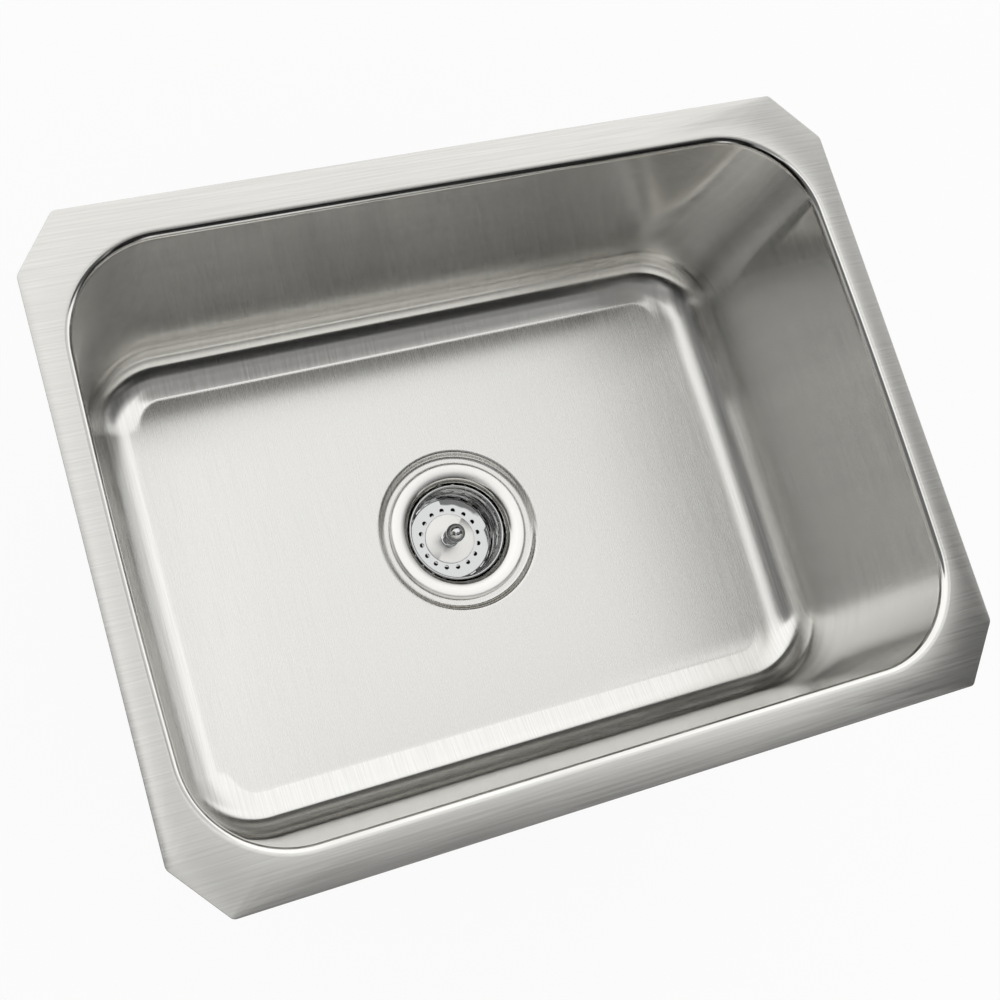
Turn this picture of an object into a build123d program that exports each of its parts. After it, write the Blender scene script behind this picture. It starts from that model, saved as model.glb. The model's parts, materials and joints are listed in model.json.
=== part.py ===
from build123d import *
import math
import os

os.makedirs("parts", exist_ok=True)

# Frame: origin at the centre of the bowl's opening, in the plane of the flange's top face, which
# meets the underside of the counter. +Z is up, +X is the sink's length, +Y is its back.

# --- Flange and bowl: one drawn steel sheet ---
flange_length = 597.0
flange_width = 464.0
corner_cut_x = 31.0
corner_cut_y = 40.0
corner_cut_round = 5.0
sheet = 1.2
end_flange = 15.0
side_flange = 23.0
rim_radius = 6.0
opening_corner_radius = 76.0
end_bow = 4.0
wall_draft = 3.0
bowl_depth = 215.0
floor_radius = 32.0

# --- Round well in the floor, which the strainer's flange sits in ---
well_depth = 4.5
well_floor_radius = 60.0
well_slope_run = 8.0
drain_hole_radius = 45.0

# --- Strainer body ---
strainer_flange_radius = 57.15
strainer_flange_thickness = 2.6
strainer_edge_round = 2.0
strainer_crown_radius = 50.5
strainer_crown_drop = 0.5
strainer_dish_radius = 45.2
strainer_dish_drop = 1.6
putty_thickness = 0.8
putty_inset = 0.8
cup_radius = 42.0
cup_wall = 2.0
cup_lip_drop = 5.5
cup_depth = 39.0
seat_cone_height = 13.0
outlet_radius = 20.6
outlet_thread_radius = 23.8
outlet_depth = 70.0
thread_pitch = 2.2
thread_height = 0.7
thread_clearance = 0.08
shank_thread_length = 28.6
outlet_thread_length = 13.2

# --- Clamping hardware below the bowl ---
gasket_radius = 57.0
gasket_thickness = 3.0
gasket_bore_clearance = 0.4
friction_washer_thickness = 1.0
locknut_height = 9.0
locknut_ring = 7.0
locknut_lugs = 6
locknut_lug_reach = 6.0
locknut_lug_width = 11.0
locknut_edge_round = 1.5

# --- Cross bar in the outlet ---
cross_top_drop = 54.0
cross_thickness = 3.0
cross_arm_width = 4.5
cross_hub_radius = 7.5
cross_hole_radius = 4.2
cross_fit_gap = 0.05

# --- Tailpiece and its coupling nut ---
tailpiece_radius = 19.05
tailpiece_wall = 1.0
tailpiece_length = 101.6
tailpiece_flange_radius = 22.8
tailpiece_flange_thickness = 1.5
tailpiece_neck_radius = 19.25
tailpiece_neck_length = 6.0
tail_washer_thickness = 2.0
coupling_lip = 2.5
coupling_wall = 3.2
coupling_overlap = 12.0
coupling_ribs = 8
coupling_rib_reach = 2.4
coupling_rib_width = 5.0
coupling_bore_gap = 0.25
coupling_edge_round = 0.8

# --- Basket ---
basket_sheet = 0.8
basket_rim_radius = 40.0
basket_rim_tube = 1.3
basket_rim_drop = 7.0
basket_upper_radius = 38.3
basket_middle_radius = 37.0
basket_lower_radius = 35.7
basket_bottom_radius = 33.5
basket_bottom_drop = 33.0
basket_step_height = 1.2
basket_band = 6.5
basket_corner_height = 5.0
basket_bend = 0.45
side_holes = 24
side_hole_radius = 1.25
bottom_holes = 16
bottom_hole_radius = 1.9
bottom_hole_circle = 24.6
corner_slots = 20
corner_slot_length = 6.0
corner_slot_width = 2.2
hub_disc_radius = 21.0
hub_disc_thickness = 0.8
running_gap = 0.3
post_bore_gap = 0.06

# --- Knob post, stopper and stem ---
knob_foot_radius = 8.0
knob_foot_edge = 1.0
knob_foot_height = 6.0
knob_waist_radius = 3.6
knob_ring_radius = 4.35
knob_ring_height = 1.8
knob_rings = 3
knob_neck_radius = 5.4
knob_neck_height = 3.0
knob_cap_radius = 6.6
knob_cap_height = 13.5
spigot_radius = 2.0
spigot_length = 6.0
press_gap = 0.02
stem_radius = 3.0
stopper_plate_radius = 24.0
stopper_plate_thickness = 1.0
stopper_boss_radius = 20.0
stopper_boss_height = 3.4
stopper_skirt_height = 4.8
stopper_edge_round = 1.2
stopper_seat_gap = 0.35
retainer_radius = 16.0
retainer_thickness = 2.0
stem_nut_flats = 9.5
stem_nut_height = 4.0
clip_radius = 4.1
clip_length = 6.0
stem_tip = 2.0

# --- Sound-deadening pads ---
pad_thickness = 3.0
pad_corner_radius = 12.0
side_pad_length = 300.0
end_pad_length = 200.0
wall_pad_height = 110.0
wall_pad_drop = 45.0
floor_pad_length = 120.0
floor_pad_width = 230.0
floor_pad_centre = 150.0

# --- Levels, from the sizes above ---
well_level = -bowl_depth - well_depth
seat_level = well_level + putty_thickness
strainer_top = seat_level + strainer_flange_thickness
shank_radius = cup_radius + cup_wall
well_underside = well_level - sheet
gasket_level = well_underside - gasket_thickness
locknut_top = gasket_level - friction_washer_thickness
cone_top = strainer_top - cup_depth
cone_foot = cone_top - seat_cone_height
outlet_end = strainer_top - outlet_depth
cross_top = strainer_top - cross_top_drop
basket_floor = strainer_top - basket_bottom_drop
tail_flange_top = outlet_end - tail_washer_thickness
tail_end = tail_flange_top - tailpiece_length
coupling_ledge = tail_flange_top - tailpiece_flange_thickness
coupling_top = outlet_end + coupling_overlap
cone_slope = seat_cone_height / (cup_radius - outlet_radius)
cone_lean = math.hypot(1, cone_slope)
foot_level = basket_floor + hub_disc_thickness + running_gap
rings_level = foot_level + knob_foot_height
neck_level = rings_level + knob_rings * knob_ring_height
cap_level = neck_level + knob_neck_height
stopper_plate_top = basket_floor - basket_sheet - running_gap
stopper_top = stopper_plate_top - stopper_plate_thickness
skirt_top = stopper_top - stopper_boss_height
skirt_foot = skirt_top - stopper_skirt_height
retainer_foot = skirt_foot - retainer_thickness
stem_nut_foot = retainer_foot - stem_nut_height
clip_top = cross_top + (clip_length - cross_thickness) / 2
stem_end = clip_top - clip_length - stem_tip


def bowl_outline(grow, drop):
    """Plan of the bowl's wall at a drop below the flange: straight sides, bowed ends, round corners."""
    outward = grow - drop * math.tan(math.radians(wall_draft))
    reach_x = flange_length / 2 - end_flange - rim_radius + outward
    reach_y = flange_width / 2 - side_flange - rim_radius + outward
    with BuildSketch(Plane.XY.offset(-drop)) as outline:
        with BuildLine():
            Line((-reach_x + end_bow, reach_y), (reach_x - end_bow, reach_y))
            ThreePointArc((reach_x - end_bow, reach_y), (reach_x, 0), (reach_x - end_bow, -reach_y))
            Line((reach_x - end_bow, -reach_y), (-reach_x + end_bow, -reach_y))
            ThreePointArc((-reach_x + end_bow, -reach_y), (-reach_x, 0), (-reach_x + end_bow, reach_y))
        make_face()
        fillet(outline.vertices(), opening_corner_radius - rim_radius + outward)
    return outline.sketch


def bowl_form(grow):
    """Solid shape of the bowl, larger all round by grow: drafted walls and a rounded foot."""
    with BuildPart() as form:
        add(bowl_outline(grow, 0))
        add(bowl_outline(grow, bowl_depth + grow))
        loft(ruled=True)
        fillet(form.faces().sort_by(Axis.Z)[0].edges(), floor_radius + grow)
    return form.part


bowl_inside = bowl_form(0)
bowl_outside = bowl_form(sheet)
bowl_pad_skin = bowl_form(sheet + pad_thickness)


def ring_thread(radius, top, foot):
    """Outline points of a ringed thread down a shank, from top to foot, crest to crest."""
    turns = round((top - foot) / thread_pitch)
    points = [(radius, top)]
    for turn in range(turns):
        crest = top - turn * thread_pitch
        points.append((radius - thread_height, crest - thread_pitch / 2))
        points.append((radius, crest - thread_pitch))
    return points


def finish(part, name):
    """Names a finished piece and writes it."""
    part.label = name
    export_step(part, f"parts/{name}.step")


# --- Sink bowl with its flange and drain well ---
# The well's slope is two equal tangent arcs, each turning by well_turn.
well_turn = 2 * math.degrees(math.atan2(well_depth, well_slope_run))
well_bend = well_slope_run / (2 * math.sin(math.radians(well_turn)))
well_top_radius = well_floor_radius + well_slope_run
half_length = flange_length / 2
half_width = flange_width / 2

with BuildPart() as sink_shell:
    add(bowl_outside)
    with BuildSketch() as flange_plan:
        with BuildLine():
            Polyline(
                (half_length - corner_cut_x, half_width),
                (half_length, half_width - corner_cut_y),
                (half_length, -half_width + corner_cut_y),
                (half_length - corner_cut_x, -half_width),
                (-half_length + corner_cut_x, -half_width),
                (-half_length, -half_width + corner_cut_y),
                (-half_length, half_width - corner_cut_y),
                (-half_length + corner_cut_x, half_width),
                close=True,
            )
        make_face()
        fillet(flange_plan.vertices(), corner_cut_round)
    extrude(amount=-sheet)
    flange_underside = sink_shell.faces().filter_by(Plane.XY).filter_by(lambda f: f.inner_wires())[0]
    fillet(flange_underside.inner_wires()[0].edges(), rim_radius - sheet)
    add(bowl_inside, mode=Mode.SUBTRACT)
    flange_top = sink_shell.faces().filter_by(Plane.XY).sort_by(Axis.Z)[-1]
    fillet(flange_top.inner_wires()[0].edges(), rim_radius)
    with Locations((0, 0, -bowl_depth)):
        Cylinder(well_top_radius, 4 * sheet, mode=Mode.SUBTRACT)
    with BuildSketch(Plane.XZ):
        with BuildLine():
            CenterArc((well_top_radius, -bowl_depth - well_bend), well_bend, 90, well_turn)
            CenterArc((well_floor_radius, well_level + well_bend), well_bend, well_turn - 90, -well_turn)
            Line((well_floor_radius, well_level), (drain_hole_radius, well_level))
            Line((drain_hole_radius, well_level), (drain_hole_radius, well_underside))
            Line((drain_hole_radius, well_underside), (well_floor_radius, well_underside))
            CenterArc((well_floor_radius, well_level + well_bend), well_bend + sheet, -90, well_turn)
            CenterArc(
                (well_top_radius, -bowl_depth - well_bend), well_bend - sheet, 90 + well_turn, -well_turn
            )
            Line((well_top_radius, -bowl_depth - sheet), (well_top_radius, -bowl_depth))
        make_face()
    revolve(axis=Axis.Z)
finish(sink_shell.part, "sink_shell")


# --- Sound-deadening pads, glued to the outside of the bowl ---
def sound_pad(plane, centre, size, reach):
    """One pad: the skin round the bowl, cut to a rounded rectangle drawn on plane."""
    with BuildPart() as pad:
        add(bowl_pad_skin)
        add(bowl_outside, mode=Mode.SUBTRACT)
        with BuildSketch(plane):
            with Locations(centre):
                RectangleRounded(size[0], size[1], pad_corner_radius)
        extrude(amount=reach, mode=Mode.INTERSECT)
    return pad.part


wall_pad_centre = (0, -wall_pad_drop - wall_pad_height / 2)
side_pad_size = (side_pad_length, wall_pad_height)
end_pad_size = (end_pad_length, wall_pad_height)
floor_pad_size = (floor_pad_length, floor_pad_width)
below_floor = Plane.XY.offset(-bowl_depth)
pads = {
    "sound_pad_back": (Plane.XZ, wall_pad_centre, side_pad_size, -half_width),
    "sound_pad_front": (Plane.XZ, wall_pad_centre, side_pad_size, half_width),
    "sound_pad_left": (Plane.YZ, wall_pad_centre, end_pad_size, -half_length),
    "sound_pad_right": (Plane.YZ, wall_pad_centre, end_pad_size, half_length),
    "sound_pad_floor_left": (below_floor, (-floor_pad_centre, 0), floor_pad_size, -floor_radius),
    "sound_pad_floor_right": (below_floor, (floor_pad_centre, 0), floor_pad_size, -floor_radius),
}
for pad_name, (pad_plane, pad_centre, pad_size, pad_reach) in pads.items():
    finish(sound_pad(pad_plane, pad_centre, pad_size, pad_reach), pad_name)


# --- Strainer body: dished flange, threaded cup, seat cone and threaded outlet ---
cone_outer_top = cone_top + cup_wall * (cone_slope - cone_lean)
cone_outer_foot = cone_foot + (outlet_thread_radius - outlet_radius) * cone_slope - cup_wall * cone_lean
edge_centre = (strainer_flange_radius - strainer_edge_round, strainer_top - strainer_edge_round)
lip_centre = (strainer_dish_radius, strainer_top - cup_lip_drop)

with BuildPart() as strainer_body:
    with BuildSketch(Plane.XZ):
        with BuildLine():
            Polyline(
                (shank_radius, seat_level),
                (strainer_flange_radius, seat_level),
                (strainer_flange_radius, edge_centre[1]),
            )
            CenterArc(edge_centre, strainer_edge_round, 0, 90)
            Polyline(
                (edge_centre[0], strainer_top),
                (strainer_crown_radius, strainer_top - strainer_crown_drop),
                (strainer_dish_radius, strainer_top - strainer_dish_drop),
            )
            EllipticalCenterArc(
                lip_centre,
                strainer_dish_radius - cup_radius,
                cup_lip_drop - strainer_dish_drop,
                start_angle=90,
                arc_size=90,
            )
            Polyline(
                (cup_radius, strainer_top - cup_lip_drop),
                (cup_radius, cone_top),
                (outlet_radius, cone_foot),
                (outlet_radius, outlet_end),
                (outlet_thread_radius, outlet_end),
            )
            Polyline(*ring_thread(outlet_thread_radius, outlet_end + outlet_thread_length, outlet_end))
            Polyline(
                (outlet_thread_radius, outlet_end + outlet_thread_length),
                (outlet_thread_radius, cone_outer_foot),
                (shank_radius, cone_outer_top),
            )
            Polyline(*ring_thread(shank_radius, cone_outer_top + shank_thread_length, cone_outer_top))
            Line((shank_radius, cone_outer_top + shank_thread_length), (shank_radius, seat_level))
        make_face()
    revolve(axis=Axis.Z)
finish(strainer_body.part, "strainer_body")


# --- Seals and clamping hardware of the strainer ---
with BuildPart() as putty_ring:
    with BuildSketch(Plane.XY.offset(well_level)):
        Circle(strainer_flange_radius - putty_inset)
        Circle(drain_hole_radius, mode=Mode.SUBTRACT)
    extrude(amount=putty_thickness)
finish(putty_ring.part, "putty_ring")

with BuildPart() as rubber_gasket:
    with BuildSketch(Plane.XY.offset(gasket_level)):
        Circle(gasket_radius)
        Circle(shank_radius + gasket_bore_clearance, mode=Mode.SUBTRACT)
    extrude(amount=gasket_thickness)
finish(rubber_gasket.part, "rubber_gasket")

with BuildPart() as friction_washer:
    with BuildSketch(Plane.XY.offset(locknut_top)):
        Circle(gasket_radius)
        Circle(shank_radius + gasket_bore_clearance, mode=Mode.SUBTRACT)
    extrude(amount=friction_washer_thickness)
finish(friction_washer.part, "friction_washer")

with BuildPart() as locknut:
    locknut_outer = shank_radius + locknut_ring
    with BuildSketch(Plane.XY.offset(locknut_top)):
        Circle(locknut_outer)
        with PolarLocations(locknut_outer, locknut_lugs):
            Rectangle(2 * locknut_lug_reach, locknut_lug_width)
    extrude(amount=-locknut_height)
    fillet(locknut.edges().filter_by(Axis.Z), locknut_edge_round)
    chamfer(locknut.faces().sort_by(Axis.Z)[0].edges(), locknut_edge_round / 2)
    with Locations((0, 0, locknut_top)):
        CounterBoreHole(
            shank_radius + thread_clearance, shank_radius + 2 * thread_clearance, locknut_edge_round
        )
finish(locknut.part, "locknut")

# --- Cross bar in the strainer's outlet, with the socket that the stem plugs into ---
with BuildPart() as outlet_cross:
    cross_reach = outlet_radius - cross_fit_gap
    with BuildSketch(Plane.XY.offset(cross_top)):
        with PolarLocations(0, 2, angular_range=180):
            Rectangle(2 * outlet_radius, cross_arm_width)
        Circle(cross_hub_radius)
        Circle(cross_reach, mode=Mode.INTERSECT)
        Circle(cross_hole_radius, mode=Mode.SUBTRACT)
    extrude(amount=-cross_thickness)
finish(outlet_cross.part, "outlet_cross")

# --- Tailpiece, its washer and the coupling nut ---
tailpiece_bore = tailpiece_radius - tailpiece_wall
with BuildPart() as tailpiece_washer:
    with BuildSketch(Plane.XY.offset(tail_flange_top)):
        Circle(tailpiece_flange_radius)
        Circle(tailpiece_bore, mode=Mode.SUBTRACT)
    extrude(amount=tail_washer_thickness)
finish(tailpiece_washer.part, "tailpiece_washer")

with BuildPart() as tailpiece:
    with BuildSketch(Plane.XY.offset(tail_flange_top)):
        Circle(tailpiece_radius)
    extrude(amount=-tailpiece_length)
    with BuildSketch(Plane.XY.offset(coupling_ledge)):
        Circle(tailpiece_neck_radius)
    extrude(amount=-tailpiece_neck_length)
    with BuildSketch(Plane.XY.offset(tail_flange_top)):
        Circle(tailpiece_flange_radius)
    extrude(amount=-tailpiece_flange_thickness)
    with Locations((0, 0, tail_flange_top)):
        Hole(tailpiece_bore)
finish(tailpiece.part, "tailpiece")

with BuildPart() as coupling_nut:
    coupling_bore = outlet_thread_radius + thread_clearance
    coupling_outer = coupling_bore + coupling_wall
    with BuildSketch(Plane.XY.offset(coupling_ledge - coupling_lip)):
        Circle(coupling_outer)
        with PolarLocations(coupling_outer, coupling_ribs):
            Rectangle(2 * coupling_rib_reach, coupling_rib_width)
    extrude(amount=coupling_top - coupling_ledge + coupling_lip)
    fillet(coupling_nut.edges().filter_by(Axis.Z), coupling_edge_round)
    chamfer(coupling_nut.faces().sort_by(Axis.Z)[0].edges(), coupling_edge_round)
    with Locations((0, 0, coupling_top)):
        CounterBoreHole(
            tailpiece_neck_radius + coupling_bore_gap, coupling_bore, coupling_top - coupling_ledge
        )
finish(coupling_nut.part, "coupling_nut")

# --- Basket: rolled rim, two stepped bands of holes, slotted corner and holed bottom ---
rim_centre_level = strainer_top - basket_rim_drop - basket_rim_tube
upper_band_foot = rim_centre_level - basket_band
middle_band_top = upper_band_foot - basket_step_height
middle_band_foot = middle_band_top - basket_band
lower_band_top = middle_band_foot - basket_step_height
lower_band_foot = basket_floor + basket_corner_height
post_bore = stem_radius + post_bore_gap

with BuildPart() as basket_cup:
    with BuildSketch(Plane.XZ):
        with BuildLine():
            FilletPolyline(
                (basket_upper_radius, rim_centre_level),
                (basket_upper_radius, upper_band_foot),
                (basket_middle_radius, middle_band_top),
                (basket_middle_radius, middle_band_foot),
                (basket_lower_radius, lower_band_top),
                (basket_lower_radius, lower_band_foot),
                (basket_bottom_radius, basket_floor),
                (post_bore, basket_floor),
                radius=basket_bend,
            )
            offset(amount=basket_sheet, side=Side.LEFT)
        make_face()
        with Locations((basket_rim_radius - basket_rim_tube, rim_centre_level)):
            Circle(basket_rim_tube)
    revolve(axis=Axis.Z)
    hole_levels = ((upper_band_foot + rim_centre_level - basket_rim_tube) / 2,
                   (middle_band_top + middle_band_foot) / 2)
    for hole_level in hole_levels:
        with Locations((0, 0, hole_level)):
            with PolarLocations(0, side_holes // 2, angular_range=180):
                Cylinder(side_hole_radius, 3 * basket_rim_radius, rotation=(0, 90, 0), mode=Mode.SUBTRACT)
    with Locations((0, 0, basket_floor + basket_corner_height / 2)):
        with PolarLocations(0, corner_slots // 2, angular_range=180):
            Box(3 * basket_rim_radius, corner_slot_length, corner_slot_width, mode=Mode.SUBTRACT)
    with Locations((0, 0, basket_floor)):
        with PolarLocations(bottom_hole_circle, bottom_holes):
            Cylinder(bottom_hole_radius, 4 * basket_sheet, mode=Mode.SUBTRACT)
finish(basket_cup.part, "basket_cup")

with BuildPart() as basket_hub_disc:
    with BuildSketch(Plane.XY.offset(basket_floor)):
        Circle(hub_disc_radius)
        Circle(post_bore, mode=Mode.SUBTRACT)
    extrude(amount=hub_disc_thickness)
    fillet(basket_hub_disc.faces().sort_by(Axis.Z)[-1].outer_wire().edges(), hub_disc_thickness / 2)
finish(basket_hub_disc.part, "basket_hub_disc")

# --- Knob post with its stem, and the domed cap on its spigot ---
with BuildPart() as knob_post:
    with BuildSketch(Plane.XZ):
        with BuildLine():
            Polyline(
                (0, stem_end),
                (stem_radius, stem_end),
                (stem_radius, foot_level),
                (knob_foot_radius, foot_level),
                (knob_foot_radius, foot_level + knob_foot_edge),
            )
            EllipticalCenterArc(
                (knob_foot_radius, rings_level),
                knob_foot_radius - knob_waist_radius,
                knob_foot_height - knob_foot_edge,
                start_angle=270,
                arc_size=-90,
            )
            for ring in range(knob_rings):
                ring_foot = rings_level + ring * knob_ring_height
                ThreePointArc(
                    (knob_waist_radius, ring_foot),
                    (knob_ring_radius, ring_foot + knob_ring_height / 2),
                    (knob_waist_radius, ring_foot + knob_ring_height),
                )
            Polyline(
                (knob_waist_radius, neck_level),
                (knob_neck_radius, cap_level),
                (spigot_radius, cap_level),
                (spigot_radius, cap_level + spigot_length),
                (0, cap_level + spigot_length),
                (0, stem_end),
            )
        make_face()
    revolve(axis=Axis.Z)
finish(knob_post.part, "knob_post")

with BuildPart() as knob_cap:
    dome_level = cap_level + knob_cap_height - knob_cap_radius
    with BuildSketch(Plane.XZ):
        with BuildLine():
            Polyline(
                (0, cap_level + spigot_length + press_gap),
                (spigot_radius + press_gap, cap_level + spigot_length + press_gap),
                (spigot_radius + press_gap, cap_level),
                (knob_neck_radius, cap_level),
                (knob_cap_radius, dome_level),
            )
            CenterArc((0, dome_level), knob_cap_radius, 0, 90)
            Line((0, cap_level + knob_cap_height), (0, cap_level + spigot_length + press_gap))
        make_face()
    revolve(axis=Axis.Z)
finish(knob_cap.part, "knob_cap")

# --- Stopper under the basket ---
with BuildPart() as stopper_plate:
    with BuildSketch(Plane.XY.offset(stopper_top)):
        Circle(stopper_plate_radius)
        Circle(stem_radius + press_gap, mode=Mode.SUBTRACT)
    extrude(amount=stopper_plate_thickness)
finish(stopper_plate.part, "stopper_plate")

with BuildPart() as stopper_seal:
    cone_radius_there = cup_radius - (cone_top - skirt_foot) / cone_slope
    stopper_radius = cone_radius_there - stopper_seat_gap * cone_lean / cone_slope
    with BuildSketch(Plane.XY.offset(skirt_foot)):
        Circle(stopper_radius)
    extrude(amount=stopper_skirt_height)
    fillet(stopper_seal.edges(), stopper_edge_round)
    with BuildSketch(Plane.XY.offset(skirt_foot)):
        Circle(stopper_boss_radius)
    extrude(amount=stopper_skirt_height + stopper_boss_height)
    with Locations((0, 0, stopper_top)):
        Hole(stem_radius + press_gap)
finish(stopper_seal.part, "stopper_seal")

with BuildPart() as stopper_retainer:
    with BuildSketch(Plane.XY.offset(skirt_foot)):
        Circle(retainer_radius)
        Circle(stem_radius + press_gap, mode=Mode.SUBTRACT)
    extrude(amount=-retainer_thickness)
    fillet(stopper_retainer.faces().sort_by(Axis.Z)[0].outer_wire().edges(), retainer_thickness / 2)
finish(stopper_retainer.part, "stopper_retainer")

with BuildPart() as stem_nut:
    with BuildSketch(Plane.XY.offset(retainer_foot)):
        RegularPolygon(stem_nut_flats / 2, 6, major_radius=False)
        Circle(stem_radius + press_gap, mode=Mode.SUBTRACT)
    extrude(amount=-stem_nut_height)
finish(stem_nut.part, "stem_nut")

with BuildPart() as stem_clip:
    with BuildSketch(Plane.XY.offset(clip_top)):
        Circle(clip_radius)
        Circle(stem_radius + press_gap, mode=Mode.SUBTRACT)
    extrude(amount=-clip_length)
finish(stem_clip.part, "stem_clip")
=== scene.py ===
"""Undermount kitchen sink in brushed stainless steel with its basket strainer: finishes, light, camera."""

import json
import math

import bmesh
import bpy
from mathutils import Matrix, Vector


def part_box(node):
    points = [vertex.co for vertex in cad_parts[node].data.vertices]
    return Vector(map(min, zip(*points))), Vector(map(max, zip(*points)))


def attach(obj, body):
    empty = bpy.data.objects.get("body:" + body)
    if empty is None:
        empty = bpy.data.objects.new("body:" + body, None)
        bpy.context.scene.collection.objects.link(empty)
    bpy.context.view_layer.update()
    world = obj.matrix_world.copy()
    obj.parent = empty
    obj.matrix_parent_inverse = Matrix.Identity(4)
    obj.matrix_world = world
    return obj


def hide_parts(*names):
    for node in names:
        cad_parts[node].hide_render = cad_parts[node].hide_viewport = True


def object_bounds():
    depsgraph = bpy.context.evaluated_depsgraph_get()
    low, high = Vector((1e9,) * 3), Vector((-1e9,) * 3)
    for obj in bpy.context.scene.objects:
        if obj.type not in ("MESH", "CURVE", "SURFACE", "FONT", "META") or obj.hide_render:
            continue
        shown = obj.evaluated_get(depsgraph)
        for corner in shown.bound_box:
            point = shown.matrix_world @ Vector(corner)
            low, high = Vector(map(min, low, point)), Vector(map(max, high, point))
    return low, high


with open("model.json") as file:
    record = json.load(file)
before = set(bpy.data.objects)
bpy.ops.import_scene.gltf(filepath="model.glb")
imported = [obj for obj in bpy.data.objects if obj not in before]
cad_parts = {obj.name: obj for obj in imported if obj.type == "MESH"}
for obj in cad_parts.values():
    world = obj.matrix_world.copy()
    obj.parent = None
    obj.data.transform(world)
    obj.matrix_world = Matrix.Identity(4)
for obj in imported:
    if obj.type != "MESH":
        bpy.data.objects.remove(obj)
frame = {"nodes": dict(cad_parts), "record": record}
cad_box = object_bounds()

MM = 0.001

# --- Drawn sheet, in metres ---
SHELL_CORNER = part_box("sink_shell")[1]
HALF_LENGTH = SHELL_CORNER.x
HALF_WIDTH = SHELL_CORNER.y
SHEET = 1.2 * MM
CORNER_CUT_X = 31 * MM
CORNER_CUT_Y = 40 * MM
CORNER_CUT_ROUND = 5 * MM
END_FLANGE = 15 * MM
SIDE_FLANGE = 23 * MM
RIM_RADIUS = 6 * MM
WALL_CORNER_RADIUS = 70 * MM
END_BOW = 4 * MM
WALL_DRAFT = math.radians(3)
BOWL_DEPTH = 215 * MM
FLOOR_RADIUS = 32 * MM
SIDE_APRON_DROP, SIDE_APRON_SLOPE = 2.8 * MM, math.radians(14)
END_APRON_DROP, END_APRON_SLOPE = 0.06 * MM, math.radians(0.4)
WELL_DEPTH = 4.5 * MM
WELL_FLOOR_RADIUS = 60 * MM
WELL_SLOPE_RUN = 8 * MM
DRAIN_HOLE_RADIUS = 45 * MM
EDGE_SOFTENING = 0.25 * MM

# --- Strainer, in millimetres from the drain's axis and down from its flange's top ---
STRAINER_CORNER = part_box("strainer_body")[1]
STRAINER_TOP = STRAINER_CORNER.z / MM
FLANGE_RADIUS = STRAINER_CORNER.x / MM
FLANGE_THICKNESS, FLANGE_EDGE = 2.6, (3.2, 2.2)
CREST_RADIUS = FLANGE_RADIUS - FLANGE_EDGE[0]
CUP_RADIUS, CUP_WALL, CUP_DEPTH = 42.0, 2.0, 39.0
LIP_DROP, LIP_FULLNESS = 5.5, 2.6
# The cup's inner face below its lip: steps in from the cup's radius, each with its drop.
CUP_STEPS = ((0, 6.4), (0.5, 6.9), (0.5, 8.6), (0, 9.2), (0, 14.0), (0.7, 14.6))
CUP_FOOT_STEP, CUP_BEND = 0.7, 0.5
CONE_HEIGHT = 13.0
OUTLET_RADIUS, OUTLET_THREAD_RADIUS, OUTLET_DEPTH = 20.6, 23.8, 70.0
THREAD_PITCH, THREAD_HEIGHT = 2.2, 0.7
SHANK_TURNS, OUTLET_TURNS = 13, 6

# --- Knob's cap, in millimetres up from its foot ---
CAP_FOOT, CAP_TOP = (corner.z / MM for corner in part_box("knob_cap"))
CAP_NECK_RADIUS, CAP_RADIUS, CAP_WAIST = 5.3, 7.9, 5.4
CAP_UNDERCUT, CAP_UNDERCUT_ANGLE = 5.0, -47
SPIGOT_BORE, SPIGOT_DEPTH = 2.02, 6.0

# --- Camera: a 54 mm lens that looks steeply down from the left front, rolled with the picture ---
LENS = 54
HEADING = math.radians(61.9)
ELEVATION = math.radians(69.3)
ROLL = math.radians(46.7)
DISTANCE = 1.003
AIM = Vector((-0.031, -0.0225, 0))


def linear(hex_colour):
    """An sRGB colour, written as RRGGBB, as the linear RGBA that the shaders take."""
    channels = [int(hex_colour[i:i + 2], 16) / 255 for i in (0, 2, 4)]
    return tuple(c / 12.92 if c <= 0.04045 else ((c + 0.055) / 1.055) ** 2.4 for c in channels) + (1,)


def grains(*sizes):
    """The scale that gives a pattern's grain these sizes in mm along x, y and z; 0 leaves it even."""
    return tuple(1 / (size * MM) if size else 0 for size in sizes)


def add_node(tree, kind, inputs=(), output=0, **settings):
    """Adds a node with its settings and links, and gives an output; each input is a value or a socket.

    A Mix node takes its share at 0, and vectors at 4 and 5 or colours at 6 and 7; they come out at 1 or 2.
    """
    node = tree.nodes.new(kind)
    for name, value in settings.items():
        setattr(node, name, value)
    for name, value in dict(inputs).items():
        if isinstance(value, bpy.types.NodeSocket):
            tree.links.new(value, node.inputs[name])
        else:
            node.inputs[name].default_value = value
    return node.outputs[output] if len(node.outputs) else None


def new_material(name):
    """An empty material and its node tree."""
    material = bpy.data.materials.new(name)
    material.use_nodes = True
    material.node_tree.nodes.clear()
    return material, material.node_tree


# --- Materials ---
# The levels between which each finish of the sheet takes over from the one beside it, and its roughness.
WALL_ROUGHNESS = 0.21
FOOT_FINISH = (-181 * MM, -187 * MM, 0.19)
FLOOR_FINISH = (-BOWL_DEPTH + 0.15 * MM, -BOWL_DEPTH + 0.02 * MM, 0.27)
RIM_FINISH = (-8 * MM, -4 * MM, 0.09)
FLANGE_FINISH = (-0.5 * MM, -0.2 * MM, 0.23)
# Belt grit leaves lines about 0.1 mm apart, too fine to show, so they are drawn 1.2 to 1.8 mm apart.
WALL_LINES, FOOT_LINES, FLANGE_LINES = (90, 90, 1.8), (1.2, 60, 0), (90, 1.6, 0)
LINE_RELIEF = 0.0045 * MM
# Drawing leaves soft upright waves in the walls, about 45 mm apart.
WAVES = (45, 45, 650)
WAVE_RELIEF = 0.25 * MM


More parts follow.
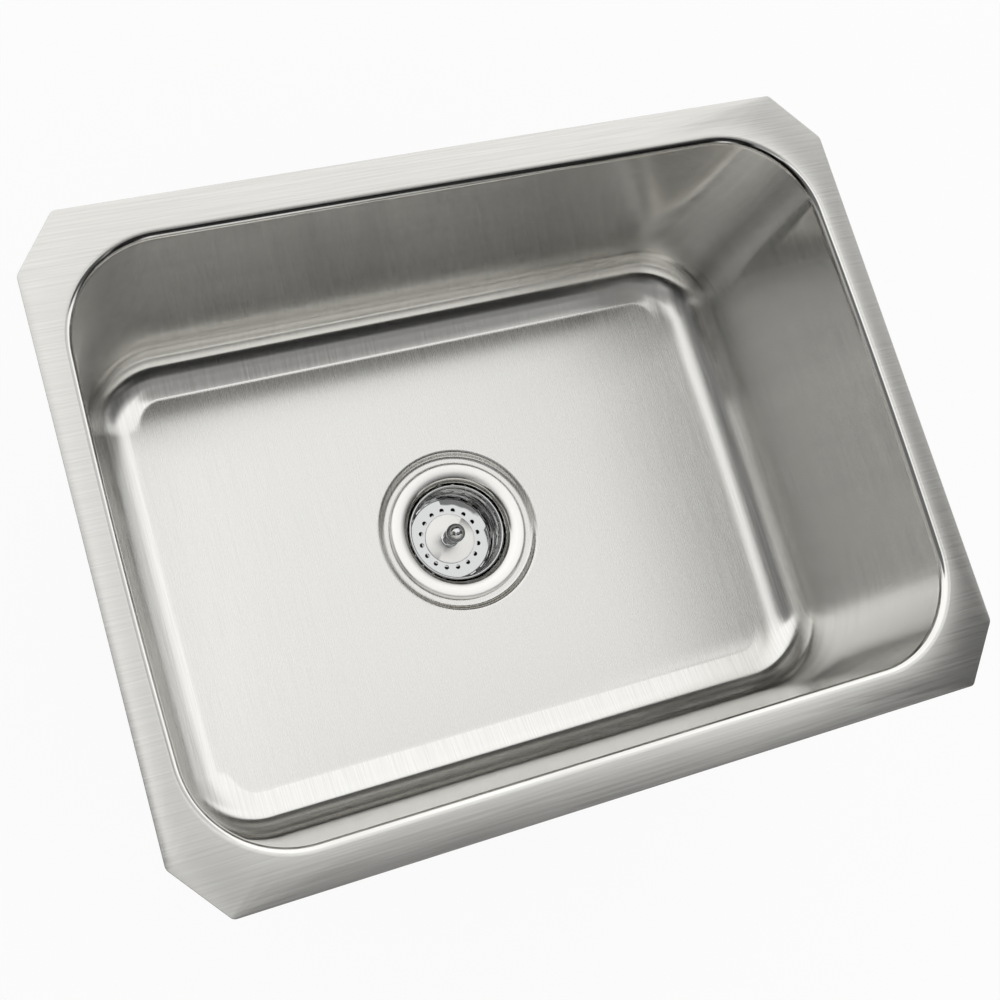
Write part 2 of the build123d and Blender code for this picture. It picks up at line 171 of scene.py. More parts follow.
def brushed_sheet():
    """304 stainless sheet with a belt-brushed No. 4 finish.

    The eye sees soft, streaked reflections: along the bowl's length on the flange, level round the
    walls, and front to back on the foot and floor. The rim bend is buffed bright after drawing.
    """
    material, tree = new_material("brushed_304_sheet")
    place = add_node(tree, "ShaderNodeTexCoord", output="Object")
    sideways = add_node(tree, "ShaderNodeSeparateXYZ", {"Vector": place}, "X")
    level = add_node(tree, "ShaderNodeSeparateXYZ", {"Vector": place}, "Z")
    zones = []
    roughness = WALL_ROUGHNESS
    for start, end, zone_roughness in (FOOT_FINISH, FLOOR_FINISH, RIM_FINISH, FLANGE_FINISH):
        span = {"Value": level, "From Min": start, "From Max": end}
        zone = add_node(tree, "ShaderNodeMapRange", span, interpolation_type="SMOOTHSTEP")
        taken = {"Value": zone, "To Min": roughness, "To Max": zone_roughness}
        roughness = add_node(tree, "ShaderNodeMapRange", taken)
        zones.append(zone)
    foot, _, _, flange = zones
    grain = []
    for sizes in (WALL_LINES, FOOT_LINES, FLANGE_LINES):
        scaled = {0: place, 1: grains(*sizes)}
        scaled = add_node(tree, "ShaderNodeVectorMath", scaled, operation="MULTIPLY")
        texture = {"Vector": scaled, "Scale": 1, "Detail": 3, "Roughness": 0.6}
        grain.append(add_node(tree, "ShaderNodeTexNoise", texture))
    lines = add_node(tree, "ShaderNodeMapRange", {"Value": foot, "To Min": grain[0], "To Max": grain[1]})
    lines = add_node(tree, "ShaderNodeMapRange", {"Value": flange, "To Min": lines, "To Max": grain[2]})
    scaled = {0: place, 1: grains(*WAVES)}
    scaled = add_node(tree, "ShaderNodeVectorMath", scaled, operation="MULTIPLY")
    waves = add_node(tree, "ShaderNodeTexNoise", {"Vector": scaled, "Scale": 1, "Detail": 1})
    waves = add_node(tree, "ShaderNodeMapRange", {"Value": foot, "To Min": waves, "To Max": 0.5})
    side = add_node(tree, "ShaderNodeMath", {0: sideways}, operation="SIGN")
    across = add_node(tree, "ShaderNodeCombineXYZ", {"X": side})
    across = add_node(tree, "ShaderNodeMix", {0: foot, 4: (0, 0, 1), 5: across}, 1, data_type="VECTOR")
    across = add_node(tree, "ShaderNodeMix", {0: flange, 4: across, 5: (0, 1, 0)}, 1, data_type="VECTOR")
    share = add_node(tree, "ShaderNodeMapRange", {"Value": lines, "From Min": 0.25, "From Max": 0.75})
    bowl = {0: share, 6: linear("DCDBD7"), 7: linear("F0EFEC")}
    bowl = add_node(tree, "ShaderNodeMix", bowl, 2, data_type="RGBA")
    rolled = {0: share, 6: linear("CBCAC6"), 7: linear("DFDEDA")}
    rolled = add_node(tree, "ShaderNodeMix", rolled, 2, data_type="RGBA")
    colour = add_node(tree, "ShaderNodeMix", {0: flange, 6: bowl, 7: rolled}, 2, data_type="RGBA")
    spread = {"Value": lines, "From Min": 0.2, "From Max": 0.8, "To Min": 0.85, "To Max": 1.15}
    spread = add_node(tree, "ShaderNodeMapRange", spread)
    roughness = add_node(tree, "ShaderNodeMath", {0: roughness, 1: spread}, operation="MULTIPLY")
    wavy = add_node(tree, "ShaderNodeBump", {"Height": waves, "Distance": WAVE_RELIEF, "Strength": 0.5})
    scored = {"Height": lines, "Distance": LINE_RELIEF, "Strength": 0.5, "Normal": wavy}
    scored = add_node(tree, "ShaderNodeBump", scored)
    shader = add_node(tree, "ShaderNodeBsdfPrincipled", {
        "Base Color": colour, "Metallic": 1.0, "Roughness": roughness,
        "Anisotropic": 1.0, "Tangent": across, "Normal": scored,
    })
    add_node(tree, "ShaderNodeOutputMaterial", {"Surface": shader})
    return material


# The strainer's satin starts where the lip has rolled half over, and ends under the flange's edge.
SATIN_INNER = ((CUP_RADIUS + 1.8) * MM, (CUP_RADIUS + 3.4) * MM)
SATIN_FOOT = ((STRAINER_TOP - 2.4) * MM, (STRAINER_TOP - 1.9) * MM)
# Turning lines are under 0.1 mm apart, so they are drawn 0.6 mm apart to show.
TURNING_LINES = (0.6, 0, 0.6)


def spun_strainer():
    """Deep-drawn 304 stainless.

    The eye sees a pale satin ring on the flange, with faint turning lines round it, and a cup that is
    buffed bright and mirrors its own dark inside.
    """
    material, tree = new_material("spun_304_strainer")
    place = add_node(tree, "ShaderNodeTexCoord", output="Object")
    level = add_node(tree, "ShaderNodeSeparateXYZ", {"Vector": place}, "Z")
    flat = add_node(tree, "ShaderNodeVectorMath", {0: place, 1: (1, 1, 0)}, operation="MULTIPLY")
    radius = add_node(tree, "ShaderNodeVectorMath", {0: flat}, "Value", operation="LENGTH")
    outward = add_node(tree, "ShaderNodeVectorMath", {0: flat}, operation="NORMALIZE")
    wide = {"Value": radius, "From Min": SATIN_INNER[0], "From Max": SATIN_INNER[1]}
    wide = add_node(tree, "ShaderNodeMapRange", wide, interpolation_type="SMOOTHSTEP")
    high = {"Value": level, "From Min": SATIN_FOOT[0], "From Max": SATIN_FOOT[1]}
    high = add_node(tree, "ShaderNodeMapRange", high, interpolation_type="SMOOTHSTEP")
    satin = add_node(tree, "ShaderNodeMath", {0: wide, 1: high}, operation="MULTIPLY")
    turned_place = add_node(tree, "ShaderNodeCombineXYZ", {"X": radius, "Z": level})
    scaled = {0: turned_place, 1: grains(*TURNING_LINES)}
    scaled = add_node(tree, "ShaderNodeVectorMath", scaled, operation="MULTIPLY")
    lines = add_node(tree, "ShaderNodeTexNoise", {"Vector": scaled, "Scale": 1, "Detail": 2})
    share = add_node(tree, "ShaderNodeMapRange", {"Value": lines, "From Min": 0.3, "From Max": 0.7})
    cup = {0: share, 6: linear("C4C3BF"), 7: linear("D2D1CD")}
    cup = add_node(tree, "ShaderNodeMix", cup, 2, data_type="RGBA")
    crown = {0: share, 6: linear("EDECE9"), 7: linear("F4F3F0")}
    crown = add_node(tree, "ShaderNodeMix", crown, 2, data_type="RGBA")
    spread = {"Value": satin, "To Min": 0.07, "To Max": 0.32}
    scored = {"Height": lines, "Distance": 0.01 * MM, "Strength": 0.3}
    shader = add_node(tree, "ShaderNodeBsdfPrincipled", {
        "Base Color": add_node(tree, "ShaderNodeMix", {0: satin, 6: cup, 7: crown}, 2, data_type="RGBA"),
        "Metallic": 1.0,
        "Roughness": add_node(tree, "ShaderNodeMapRange", spread),
        "Anisotropic": 0.4,
        "Tangent": outward,
        "Normal": add_node(tree, "ShaderNodeBump", scored),
    })
    add_node(tree, "ShaderNodeOutputMaterial", {"Surface": shader})
    return material


def grained(name, colours, roughness, grain, relief, constants):
    """A finish whose colour, roughness and relief follow one grain; its sizes and relief are in mm."""
    material, tree = new_material(name)
    place = add_node(tree, "ShaderNodeTexCoord", output="Object")
    scaled = add_node(tree, "ShaderNodeVectorMath", {0: place, 1: grains(*grain)}, operation="MULTIPLY")
    pattern = {"Vector": scaled, "Scale": 1, "Detail": 4, "Roughness": 0.6}
    pattern = add_node(tree, "ShaderNodeTexNoise", pattern)
    share = add_node(tree, "ShaderNodeMapRange", {"Value": pattern, "From Min": 0.3, "From Max": 0.7})
    tones = {0: share, 6: linear(colours[0]), 7: linear(colours[1])}
    spread = {"Value": share, "To Min": roughness[0], "To Max": roughness[1]}
    bumps = {"Height": pattern, "Distance": relief * MM, "Strength": 0.6}
    shader = add_node(tree, "ShaderNodeBsdfPrincipled", {
        "Base Color": add_node(tree, "ShaderNodeMix", tones, 2, data_type="RGBA"),
        "Roughness": add_node(tree, "ShaderNodeMapRange", spread),
        "Normal": add_node(tree, "ShaderNodeBump", bumps),
        **constants,
    })
    add_node(tree, "ShaderNodeOutputMaterial", {"Surface": shader})
    return material


METAL = {"Metallic": 1.0}
RUBBER = {"IOR": 1.52}
FIBRE = {"IOR": 1.47}
NYLON = {"IOR": 1.53, "Transmission Weight": 0.25}

SLOT_MATERIALS = {
    "sink_steel": brushed_sheet(),
    "strainer_steel": spun_strainer(),
    # Bright chrome on pressed steel: near-mirror, with only a trace of the sheet's 0.5 mm grain.
    "basket_steel": grained(
        "chrome_plated_basket", ("C2C3C3", "CBCCCC"), (0.05, 0.09), (0.5,) * 3, 0.0006, METAL,
    ),
    # Stainless with a fine satin: pale, with soft edges to whatever it mirrors.
    "disc_steel": grained("satin_304_disc", ("EDECE9", "F4F3F0"), (0.36, 0.42), (0.6, 6, 6), 0.002, METAL),
    # Chrome on a turned knob: a clear mirror with small bright highlights.
    "knob_chrome": grained(
        "polished_chrome_knob", ("CBCCCC", "D6D7D7"), (0.03, 0.06), (0.5,) * 3, 0.0004, METAL,
    ),
    # Stamped stainless, tumbled after stamping: a dull sheen with faint 2 mm clouds.
    "plate_steel": grained("stamped_304_plate", ("BDBCB8", "CECDC9"), (0.22, 0.32), (2,) * 3, 0.01, METAL),
    # Die-cast zinc, left as cast: grey and slightly pitted, in 1.4 mm grains.
    "nut_zinc": grained("die_cast_zinc_nut", ("9A9B9B", "B2B3B2"), (0.38, 0.52), (1.4,) * 3, 0.05, METAL),
    # Drawn stainless tube: bright, with long marks down its length.
    "tube_steel": grained(
        "drawn_304_tube", ("C4C3BF", "D4D3CF"), (0.14, 0.24), (3.3, 3.3, 50), 0.01, METAL,
    ),
    # Moulded rubber: near black and dull, with a fine 1 mm texture.
    "black_rubber": grained(
        "moulded_epdm_gasket", ("161616", "242424"), (0.55, 0.75), (1.1,) * 3, 0.05, RUBBER,
    ),
    # Moulded rubber that is wiped by water: near black, a little smoother and warmer.
    "stopper_rubber": grained(
        "moulded_nitrile_stopper", ("1C1B1A", "2B2A28"), (0.45, 0.6), (1.2,) * 3, 0.03, RUBBER,
    ),
    # Pressed fibre: brown, matt and layered, with flat 1.7 mm flecks.
    "washer_fibre": grained(
        "pressed_fibre_washer", ("6E5A44", "8E7557"), (0.75, 0.9), (1.7, 1.7, 0.7), 0.08, FIBRE,
    ),
    # Natural nylon, moulded: milky and slightly clear.
    "clear_nylon": grained("moulded_nylon_clip", ("D9D8D0", "E6E5DE"), (0.3, 0.42), (2,) * 3, 0.02, NYLON),
    # Plumber's putty, pressed out by hand: buff, matt and uneven over 2.5 mm.
    "putty": grained("pressed_plumbers_putty", ("B3A98F", "C9BFA5"), (0.7, 0.85), (2.5,) * 3, 0.15, FIBRE),
    # Rolled butyl sheet: dark grey and matt, with a pebbled 2.2 mm texture.
    "pad_rubber": grained("rolled_butyl_pad", ("3B3C3D", "55575A"), (0.65, 0.85), (2.2,) * 3, 0.2, RUBBER),
}
# The outside of the sheet keeps its mill finish: a flat grey sheen, with 4 mm clouds from the drawing oil.
MILL_STEEL = grained(
    "mill_finish_304_outside", ("8F8E8A", "A5A49F"), (0.42, 0.55), (3.8,) * 3, 0.03, METAL,
)


# --- Bowl: one drawn sheet, laid out as rings of points from the flange to the drain ---
def wall_outline():
    """Points and outward normals of the wall's plan at its top, anticlockwise from the right end."""
    bow_steps, corner_steps, side_steps = 10, 24, 14
    reach_x = HALF_LENGTH - END_FLANGE - RIM_RADIUS
    reach_y = HALF_WIDTH - SIDE_FLANGE - RIM_RADIUS
    bow_radius = (reach_y ** 2 + END_BOW ** 2) / (2 * END_BOW)
    bow_centre = reach_x - bow_radius
    corner_y = reach_y - WALL_CORNER_RADIUS
    corner_x = bow_centre + math.sqrt((bow_radius - WALL_CORNER_RADIUS) ** 2 - corner_y ** 2)
    turn = math.atan2(corner_y, corner_x - bow_centre)
    quarter = []
    for i in range(bow_steps):
        a = turn * i / bow_steps
        quarter.append((Vector((bow_centre + bow_radius * math.cos(a), bow_radius * math.sin(a), 0)), a))
    for i in range(corner_steps):
        a = turn + (math.pi / 2 - turn) * i / corner_steps
        turned = Vector((math.cos(a), math.sin(a), 0)) * WALL_CORNER_RADIUS
        quarter.append((Vector((corner_x, corner_y, 0)) + turned, a))
    for i in range(side_steps):
        quarter.append((Vector((corner_x * (1 - i / side_steps), reach_y, 0)), math.pi / 2))
    right_back = [(p, Vector((math.cos(a), math.sin(a), 0))) for p, a in quarter]
    left_back = [(Vector((-p.x, p.y, 0)), Vector((-n.x, n.y, 0))) for p, n in right_back]
    back_half = right_back + [(Vector((0, reach_y, 0)), Vector((0, 1, 0)))] + left_back[:0:-1]
    front_half = [(-p, -n) for p, n in back_half]
    return back_half + front_half


def wall_profile(apron_drop, apron_slope):
    """Inset and drop of the sheet's inner face, from the flange's inner edge to the floor.

    The foot's bend stops short of level, and a narrow apron slopes from it down to the floor: plainly
    along the bowl's back and front, and hardly at its ends.
    """
    rim_steps, wall_steps, foot_steps = 8, 12, 18
    hold = 0.4 * MM  # A short span beside each bend, which keeps the flat's shading flat.
    slope = math.tan(WALL_DRAFT)
    rim_centre = (RIM_RADIUS * math.sin(WALL_DRAFT) - RIM_RADIUS) / math.cos(WALL_DRAFT)
    foot_end = math.pi / 2 - apron_slope
    foot_level = BOWL_DEPTH - apron_drop - FLOOR_RADIUS * math.sin(foot_end)
    foot_centre = (FLOOR_RADIUS + foot_level * math.sin(WALL_DRAFT)) / math.cos(WALL_DRAFT)
    points = [(rim_centre - hold, 0)]
    for i in range(rim_steps + 1):
        a = (math.pi / 2 - WALL_DRAFT) * i / rim_steps
        points.append((rim_centre + RIM_RADIUS * math.sin(a), RIM_RADIUS * (1 - math.cos(a))))
    top = points[-1][1] + hold
    foot_top = foot_level + FLOOR_RADIUS * math.sin(WALL_DRAFT) - hold
    for i in range(wall_steps + 1):
        drop = top + (foot_top - top) * i / wall_steps
        points.append((drop * slope, drop))
    for i in range(foot_steps + 1):
        a = WALL_DRAFT + (foot_end - WALL_DRAFT) * i / foot_steps
        points.append((foot_centre - FLOOR_RADIUS * math.cos(a), foot_level + FLOOR_RADIUS * math.sin(a)))
    apron_run = apron_drop / math.tan(apron_slope)
    apron_start = points[-1][0]
    points.append((apron_start + hold, points[-1][1] + hold * math.tan(apron_slope)))
    # The apron is straight for nearly its whole width, and turns level just past its end.
    for share in (0.5, 0.94):
        points.append((apron_start + share * apron_run, BOWL_DEPTH - (1 - share) * apron_drop))
    for share in (1.04, 1.2):
        points.append((apron_start + share * apron_run, BOWL_DEPTH))
    return points


def well_profile():
    """Radius and drop from the well's rim to the drain hole; the slope is two equal tangent arcs."""
    arc_steps = 6
    hold = 0.5 * MM  # A short level span beside each of the slope's ends.
    turn = 2 * math.atan2(WELL_DEPTH, WELL_SLOPE_RUN)
    bend = WELL_SLOPE_RUN / (2 * math.sin(turn))
    top_radius = WELL_FLOOR_RADIUS + WELL_SLOPE_RUN
    floor_drop = BOWL_DEPTH + WELL_DEPTH
    points = [(top_radius + hold, BOWL_DEPTH)]
    for i in range(arc_steps + 1):
        a = turn * i / arc_steps
        points.append((top_radius - bend * math.sin(a), BOWL_DEPTH + bend * (1 - math.cos(a))))
    for i in range(1, arc_steps + 1):
        a = turn * (1 - i / arc_steps)
        points.append((WELL_FLOOR_RADIUS + bend * math.sin(a), floor_drop - bend * (1 - math.cos(a))))
    points.append((WELL_FLOOR_RADIUS - hold, floor_drop))
    points.append((DRAIN_HOLE_RADIUS, floor_drop))
    return points


def extrude_ring(mesh, ring, places):
    """Extrudes an open ring of points, and puts each new point in its place; gives the new ring."""
    order = {vert: i for i, vert in enumerate(ring)}
    edges = [mesh.edges.get(pair) for pair in zip(ring, ring[1:] + ring[:1])]
    extruded = bmesh.ops.extrude_edge_only(mesh, edges=edges)["geom"]
    new_verts = [v for v in extruded if isinstance(v, bmesh.types.BMVert)]
    new_ring = [None] * len(ring)
    for vert in new_verts:
        for edge in vert.link_edges:
            old = edge.other_vert(vert)
            if old in order:
                new_ring[order[old]] = vert
    for vert, place in zip(new_ring, places):
        vert.co = place
    return new_ring


def add_flange(mesh, opening_edges):
    """The flat flange: a rectangle, its corners cut off straight and then slightly rounded."""
    cut_x, cut_y = HALF_LENGTH - CORNER_CUT_X, HALF_WIDTH - CORNER_CUT_Y
    plan = [
        (cut_x, HALF_WIDTH), (HALF_LENGTH, cut_y), (HALF_LENGTH, -cut_y), (cut_x, -HALF_WIDTH),
        (-cut_x, -HALF_WIDTH), (-HALF_LENGTH, -cut_y), (-HALF_LENGTH, cut_y), (-cut_x, HALF_WIDTH),
    ]
    corners = [mesh.verts.new((x, y, 0)) for x, y in plan]
    mesh.faces.new(corners)
    corner_turn = math.radians(45)
    cut = CORNER_CUT_ROUND * math.tan(corner_turn / 2)
    bmesh.ops.bevel(
        mesh, geom=corners, offset=cut, offset_type="OFFSET", affect="VERTICES",
        segments=5, profile=0.5, material=-1,
    )
    blank = max((f for f in mesh.faces if len(f.verts) > 8), key=lambda f: f.calc_area())
    outer_edges = list(blank.edges)
    bmesh.ops.delete(mesh, geom=[blank], context="FACES_ONLY")
    bmesh.ops.bridge_loops(mesh, edges=outer_edges + opening_edges)


def bowl_sheet():
    """The whole pressing: octagonal flange, buffed rim, drafted walls, floor and drain well."""
    floor_steps = 10
    outline = wall_outline()
    at_sides = [Vector(point) for point in wall_profile(SIDE_APRON_DROP, SIDE_APRON_SLOPE)]
    at_ends = [Vector(point) for point in wall_profile(END_APRON_DROP, END_APRON_SLOPE)]
    mesh = bmesh.new()
    ring = [mesh.verts.new(p - n * at_sides[0].x) for p, n in outline]
    opening_edges = [mesh.edges.new(pair) for pair in zip(ring, ring[1:] + ring[:1])]
    for side, end in zip(at_sides[1:], at_ends[1:]):
        profile = [end.lerp(side, n.y ** 2) for _, n in outline]
        places = [p - n * at.x - Vector((0, 0, at.y)) for (p, n), at in zip(outline, profile)]
        ring = extrude_ring(mesh, ring, places)
    foot = [vert.co.copy() for vert in ring]
    well = well_profile()
    around = [Vector((place.x, place.y, 0)).normalized() for place in foot]
    well_edge = [well[0][0] * outward - Vector((0, 0, BOWL_DEPTH)) for outward in around]
    for i in range(1, floor_steps):
        ring = extrude_ring(mesh, ring, [a.lerp(b, i / floor_steps) for a, b in zip(foot, well_edge)])
    for radius, drop in well:
        ring = extrude_ring(mesh, ring, [radius * outward - Vector((0, 0, drop)) for outward in around])
    add_flange(mesh, opening_edges)
    bmesh.ops.recalc_face_normals(mesh, faces=mesh.faces)
    if sum(f.normal.z * f.calc_area() for f in mesh.faces) < 0:
        bmesh.ops.reverse_faces(mesh, faces=mesh.faces)
    return mesh


def finished(name, mesh, materials, sharp_angle=30):
    """A smooth-shaded object from a bmesh, with its edges above an angle kept crisp."""
    data = bpy.data.meshes.new(name)
    mesh.to_mesh(data)
    mesh.free()
    for material in materials:
        data.materials.append(material)
    data.shade_smooth()
    data.set_sharp_from_angle(angle=math.radians(sharp_angle))
    piece = bpy.data.objects.new(name, data)
    bpy.context.scene.collection.objects.link(piece)
    return piece


def add_modifier(piece, kind, **settings):
    """A live modifier on a piece, with its settings."""
    modifier = piece.modifiers.new(kind.lower(), kind)
    for name, value in settings.items():
        setattr(modifier, name, value)


def place_piece(piece, body, slot, *nodes):
    """Attaches a piece to the body that it rides on and hides the nodes that it stands for; the slot is
    not used.
    """
    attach(piece, body)
    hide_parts(*nodes)


SHELL = finished("brushed_bowl", bowl_sheet(), [SLOT_MATERIALS["sink_steel"], MILL_STEEL], 40)
add_modifier(SHELL, "SOLIDIFY", thickness=SHEET, offset=-1, use_even_offset=True, material_offset=1)
at_corners = {"limit_method": "ANGLE", "angle_limit": math.radians(60)}
add_modifier(SHELL, "BEVEL", width=EDGE_SOFTENING, segments=2, **at_corners)
place_piece(SHELL, "sink", "sink_steel", "sink_shell")


# --- Turned pieces: a closed half profile of (radius, level) in mm, spun round the drain's axis ---
def turned(profile, steps=144):
    """The mesh of a turned piece."""
    mesh = bmesh.new()
    verts = [mesh.verts.new((radius * MM, 0, level * MM)) for radius, level in profile]
    edges = [mesh.edges.new(pair) for pair in zip(verts, verts[1:] + verts[:1])]
    bmesh.ops.spin(
        mesh, geom=verts + edges, cent=(0, 0, 0), axis=(0, 0, 1),
        angle=math.tau, steps=steps, use_merge=True,
    )
    bmesh.ops.remove_doubles(mesh, verts=mesh.verts, dist=1e-6)
    bmesh.ops.recalc_face_normals(mesh, faces=mesh.faces)
    return mesh


def arc(centre, radii, start, end, steps=8, fullness=2):
    """Points on an ellipse's arc, in degrees from outward; more fullness squares its corner."""
    points = []
    for i in range(steps + 1):
        a = math.radians(start + (end - start) * i / steps)
        reach = [math.copysign(abs(f) ** (2 / fullness), f) for f in (math.cos(a), math.sin(a))]
        points.append((centre[0] + radii[0] * reach[0], centre[1] + radii[1] * reach[1]))
    return points


def ringed(radius, top, turns):
    """A ringed thread's outline, from its top down."""
    points = [(radius, top)]
    for i in range(turns):
        crest = top - i * THREAD_PITCH
        points += [(radius - THREAD_HEIGHT, crest - THREAD_PITCH / 2), (radius, crest - THREAD_PITCH)]
    return points


def strainer_cup():
    """The strainer's body: crowned flange, rolled lip, ribbed cup, seat cone and threaded outlet."""
    top = STRAINER_TOP
    shank, foot = CUP_RADIUS + CUP_WALL, CUP_RADIUS - CUP_FOOT_STEP
    cone_top, outlet_end = top - CUP_DEPTH, top - OUTLET_DEPTH
    cone_foot = cone_top - CONE_HEIGHT
    slope = CONE_HEIGHT / (CUP_RADIUS - OUTLET_RADIUS)
    lean = math.hypot(1, slope)
    outer_top = cone_top + CUP_WALL * (slope - lean)
    outer_foot = cone_foot + (OUTLET_THREAD_RADIUS - OUTLET_RADIUS) * slope - CUP_WALL * lean
    profile = [(shank, top - FLANGE_THICKNESS), (FLANGE_RADIUS, top - FLANGE_THICKNESS)]
    profile += arc((CREST_RADIUS, top - FLANGE_EDGE[1]), FLANGE_EDGE, 0, 90)
    face = (CUP_RADIUS - CREST_RADIUS, LIP_DROP)
    profile += arc((CREST_RADIUS, top - LIP_DROP), face, 90, 0, 28, LIP_FULLNESS)[1:]
    profile += [(CUP_RADIUS - step, top - drop) for step, drop in CUP_STEPS]
    profile += [(foot, cone_top + CUP_BEND), (foot - CUP_BEND, cone_top - CUP_BEND / 2)]
    profile += [(OUTLET_RADIUS + CUP_BEND, cone_foot + CUP_BEND / 2)]
    profile += [(OUTLET_RADIUS, cone_foot - CUP_BEND / 2), (OUTLET_RADIUS, outlet_end)]
    profile += ringed(OUTLET_THREAD_RADIUS, outlet_end + OUTLET_TURNS * THREAD_PITCH, OUTLET_TURNS)[::-1]
    profile += [(OUTLET_THREAD_RADIUS, outer_foot), (shank, outer_top)]
    profile += ringed(shank, outer_top + SHANK_TURNS * THREAD_PITCH, SHANK_TURNS)[::-1]
    return turned(profile)


def egg_cap():
    """The knob's cap: an egg on a narrow neck, bored for the post's spigot."""
    waist = CAP_FOOT + CAP_WAIST
    profile = [(SPIGOT_BORE, CAP_FOOT), (CAP_NECK_RADIUS, CAP_FOOT)]
    profile += arc((0, waist), (CAP_RADIUS, CAP_UNDERCUT), CAP_UNDERCUT_ANGLE, 0, 10)
    profile += arc((0, waist), (CAP_RADIUS, CAP_TOP - waist), 0, 90, 20)[1:]
    profile += [(0, CAP_FOOT + SPIGOT_DEPTH), (SPIGOT_BORE, CAP_FOOT + SPIGOT_DEPTH)]
    return turned(profile, 96)


STRAINER = finished("strainer_cup", strainer_cup(), [SLOT_MATERIALS["strainer_steel"]], 25)
place_piece(STRAINER, "sink", "strainer_steel", "strainer_body")
CAP = finished("egg_cap", egg_cap(), [SLOT_MATERIALS["knob_chrome"]])
place_piece(CAP, "stopper_post", "knob_chrome", "knob_cap")


# --- The other nodes: merged copies, smooth where they are round and softened at their edges ---
REMADE_NODES = ("sink_shell", "strainer_body", "knob_cap")
SOFT_EDGES = {
    "pad_rubber": 0.8 * MM, "black_rubber": 0.3 * MM, "washer_fibre": 0.15 * MM, "nut_zinc": 0.3 * MM,
}


def merged_copy(node):
    """A node's mesh with the corners of its loose triangles joined."""
    mesh = bmesh.new()
    mesh.from_mesh(frame["nodes"][node].data)
    bmesh.ops.remove_doubles(mesh, verts=mesh.verts, dist=1e-6)
    return mesh


def finish_other_nodes():
    """Gives every node that is left a finished copy on its own body."""
    record = frame["record"]
    slots = {row["node"]: row["material_slot"] for row in record["subparts"]}
    for body, nodes in record["behaviour"]["bodies"].items():
        for node in nodes:
            if node in REMADE_NODES:
                continue
            slot = slots[node]
            piece = finished(node + "_finished", merged_copy(node), [SLOT_MATERIALS[slot]])
            if slot in SOFT_EDGES:
                soft = {"limit_method": "ANGLE", "angle_limit": math.radians(40), "segments": 2}
                add_modifier(piece, "BEVEL", width=SOFT_EDGES[slot], **soft)
            place_piece(piece, body, slot, node)


finish_other_nodes()


# --- Studio: a white floor under a white room, with dark cards that only shiny metal sees ---
WHITE = linear("FFFFFF")
FLOOR_REACH = 6
FLOOR_GAP = 0.5 * MM
FLOOR_GLOW = 0.9


def white_floor():
    """A paper floor that keeps the sink's shadow; the camera sees it near white."""
    material, tree = new_material("white_paper_floor")
    camera_ray = add_node(tree, "ShaderNodeLightPath", output="Is Camera Ray")
    paper = add_node(tree, "ShaderNodeBsdfDiffuse", {"Color": linear("F4F4F3")})
    glow = add_node(tree, "ShaderNodeEmission", {"Color": WHITE, "Strength": 1.0})
    seen = add_node(tree, "ShaderNodeMath", {0: camera_ray, 1: FLOOR_GLOW}, operation="MULTIPLY")
    mixed = add_node(tree, "ShaderNodeMixShader", {0: seen, 1: paper, 2: glow})
    add_node(tree, "ShaderNodeOutputMaterial", {"Surface": mixed})
    mesh = bmesh.new()
    bmesh.ops.create_grid(mesh, x_segments=1, y_segments=1, size=FLOOR_REACH)
    bmesh.ops.translate(mesh, verts=mesh.verts, vec=(0, 0, cad_box[0].z - FLOOR_GAP))
    finished("floor", mesh, [material])


# Each dark card's azimuth, elevation, half-angle and soft edge in degrees, and its share of light taken.
# Most started from a scratch program's fit to tones measured in the photograph, rounded, and some were
# then changed by hand in trial renders.
CARDS = (
    # High over the front: greys the back wall, its apron and the front flange.
    (288, 63, 20, 6, 0.76),
    # Lower over the front: greys the back wall's lower half, and makes the dark band at its foot and
    # the dark line of the back rim.
    (288, 36, 20, 8, 0.98),
    # Low at the front: to the left, it greys the back wall's right end; to the right, it hardly shows.
    (229, 4, 38, 19, 1.0),
    (318, 2, 25, 13, 0.98),
    # Low at the left: makes the dark line of the right rim.
    (171, 5, 16, 9, 0.70),
    # High over the left: greys the right wall, and makes the dark line at its foot.
    (189, 47, 24, 6, 0.87),
    # Over the right, and from there towards the front: grey the flange's right end and front corner.
    (22, 38, 12, 8, 0.45),
    (341, 42, 13, 9, 0.93),
)
ROOM_LEVEL = 0.85
SOFTBOX_LEVEL = 1.22


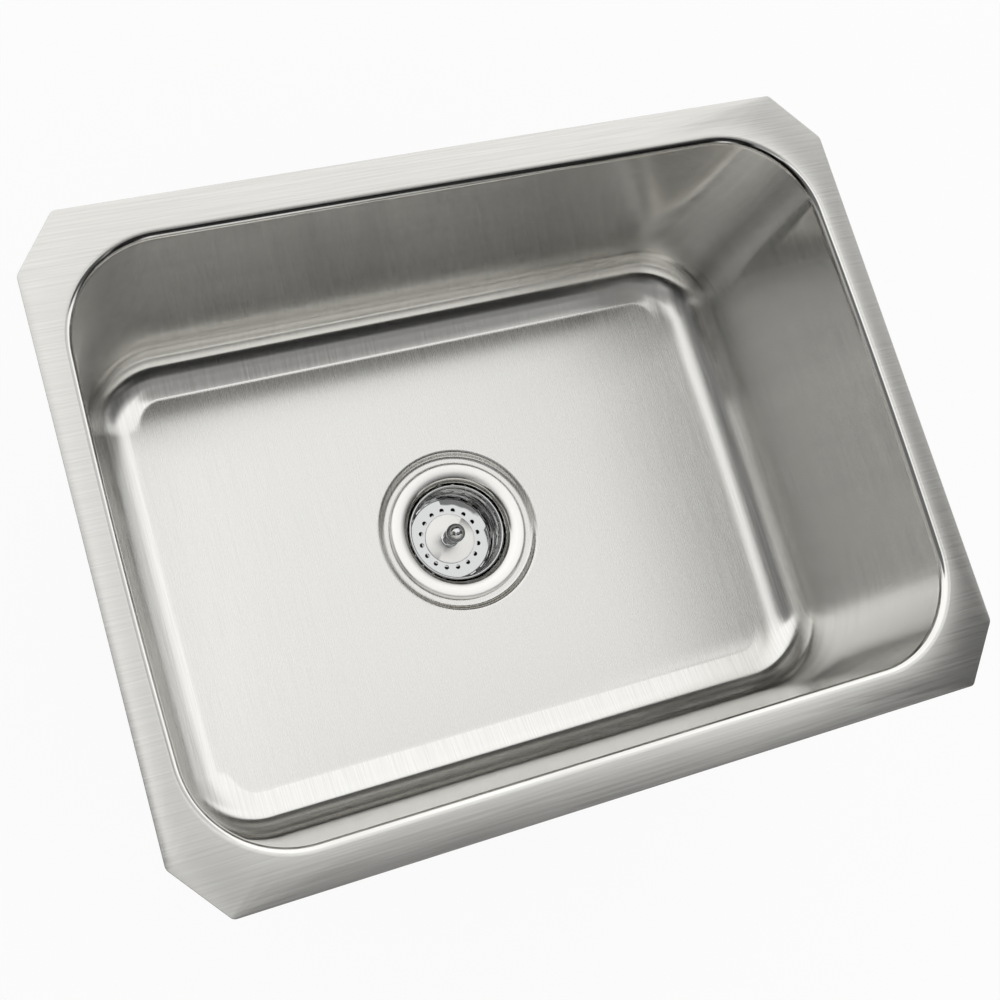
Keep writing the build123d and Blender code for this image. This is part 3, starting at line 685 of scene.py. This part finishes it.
def studio_world():
    """The room's light: plain for dull surfaces, brighter and with the dark cards for shiny ones."""
    world = bpy.data.worlds.new("studio")
    bpy.context.scene.world = world
    world.use_nodes = True
    tree = world.node_tree
    tree.nodes.clear()
    look = add_node(tree, "ShaderNodeTexCoord", output="Generated")
    light = SOFTBOX_LEVEL
    for *angles, taken in CARDS:
        turn, lift, half_angle, soft = (math.radians(a) for a in angles)
        centre = (math.cos(lift) * math.cos(turn), math.cos(lift) * math.sin(turn), math.sin(lift))
        near = {0: look, 1: centre}
        near = add_node(tree, "ShaderNodeVectorMath", near, "Value", operation="DOT_PRODUCT")
        angle = add_node(tree, "ShaderNodeMath", {0: near}, operation="ARCCOSINE")
        kept = {"Value": angle, "From Min": half_angle, "From Max": half_angle + soft, "To Min": 1 - taken}
        kept = add_node(tree, "ShaderNodeMapRange", kept, interpolation_type="SMOOTHSTEP")
        light = add_node(tree, "ShaderNodeMath", {0: light, 1: kept}, operation="MULTIPLY")
    plain = add_node(tree, "ShaderNodeBackground", {"Color": WHITE, "Strength": ROOM_LEVEL})
    shaded = add_node(tree, "ShaderNodeBackground", {"Color": WHITE, "Strength": light})
    white = add_node(tree, "ShaderNodeBackground", {"Color": WHITE, "Strength": 1.0})
    glossy_ray = add_node(tree, "ShaderNodeLightPath", output="Is Glossy Ray")
    camera_ray = add_node(tree, "ShaderNodeLightPath", output="Is Camera Ray")
    lit = add_node(tree, "ShaderNodeMixShader", {0: glossy_ray, 1: plain, 2: shaded})
    seen = add_node(tree, "ShaderNodeMixShader", {0: camera_ray, 1: lit, 2: white})
    add_node(tree, "ShaderNodeOutputWorld", {"Surface": seen})


def camera_axes():
    """The camera's right, up and forward directions."""
    flat = math.cos(ELEVATION)
    forward = Vector((flat * math.sin(HEADING), flat * math.cos(HEADING), -math.sin(ELEVATION)))
    level = forward.cross(Vector((0, 0, 1))).normalized()
    upright = level.cross(forward)
    right = math.cos(ROLL) * level + math.sin(ROLL) * upright
    up = math.cos(ROLL) * upright - math.sin(ROLL) * level
    return right, up, forward


def place_camera():
    """The scene's camera, aimed at a point in the flange's plane a little left and front of the middle."""
    data = bpy.data.cameras.new("camera")
    data.lens = LENS
    camera = bpy.data.objects.new("camera", data)
    right, up, forward = camera_axes()
    turn = Matrix((right, up, -forward)).transposed().to_4x4()
    camera.matrix_world = Matrix.Translation(AIM - forward * DISTANCE) @ turn
    bpy.context.scene.collection.objects.link(camera)
    bpy.context.scene.camera = camera


white_floor()
studio_world()
place_camera()
bpy.context.scene.view_settings.view_transform = "Standard"
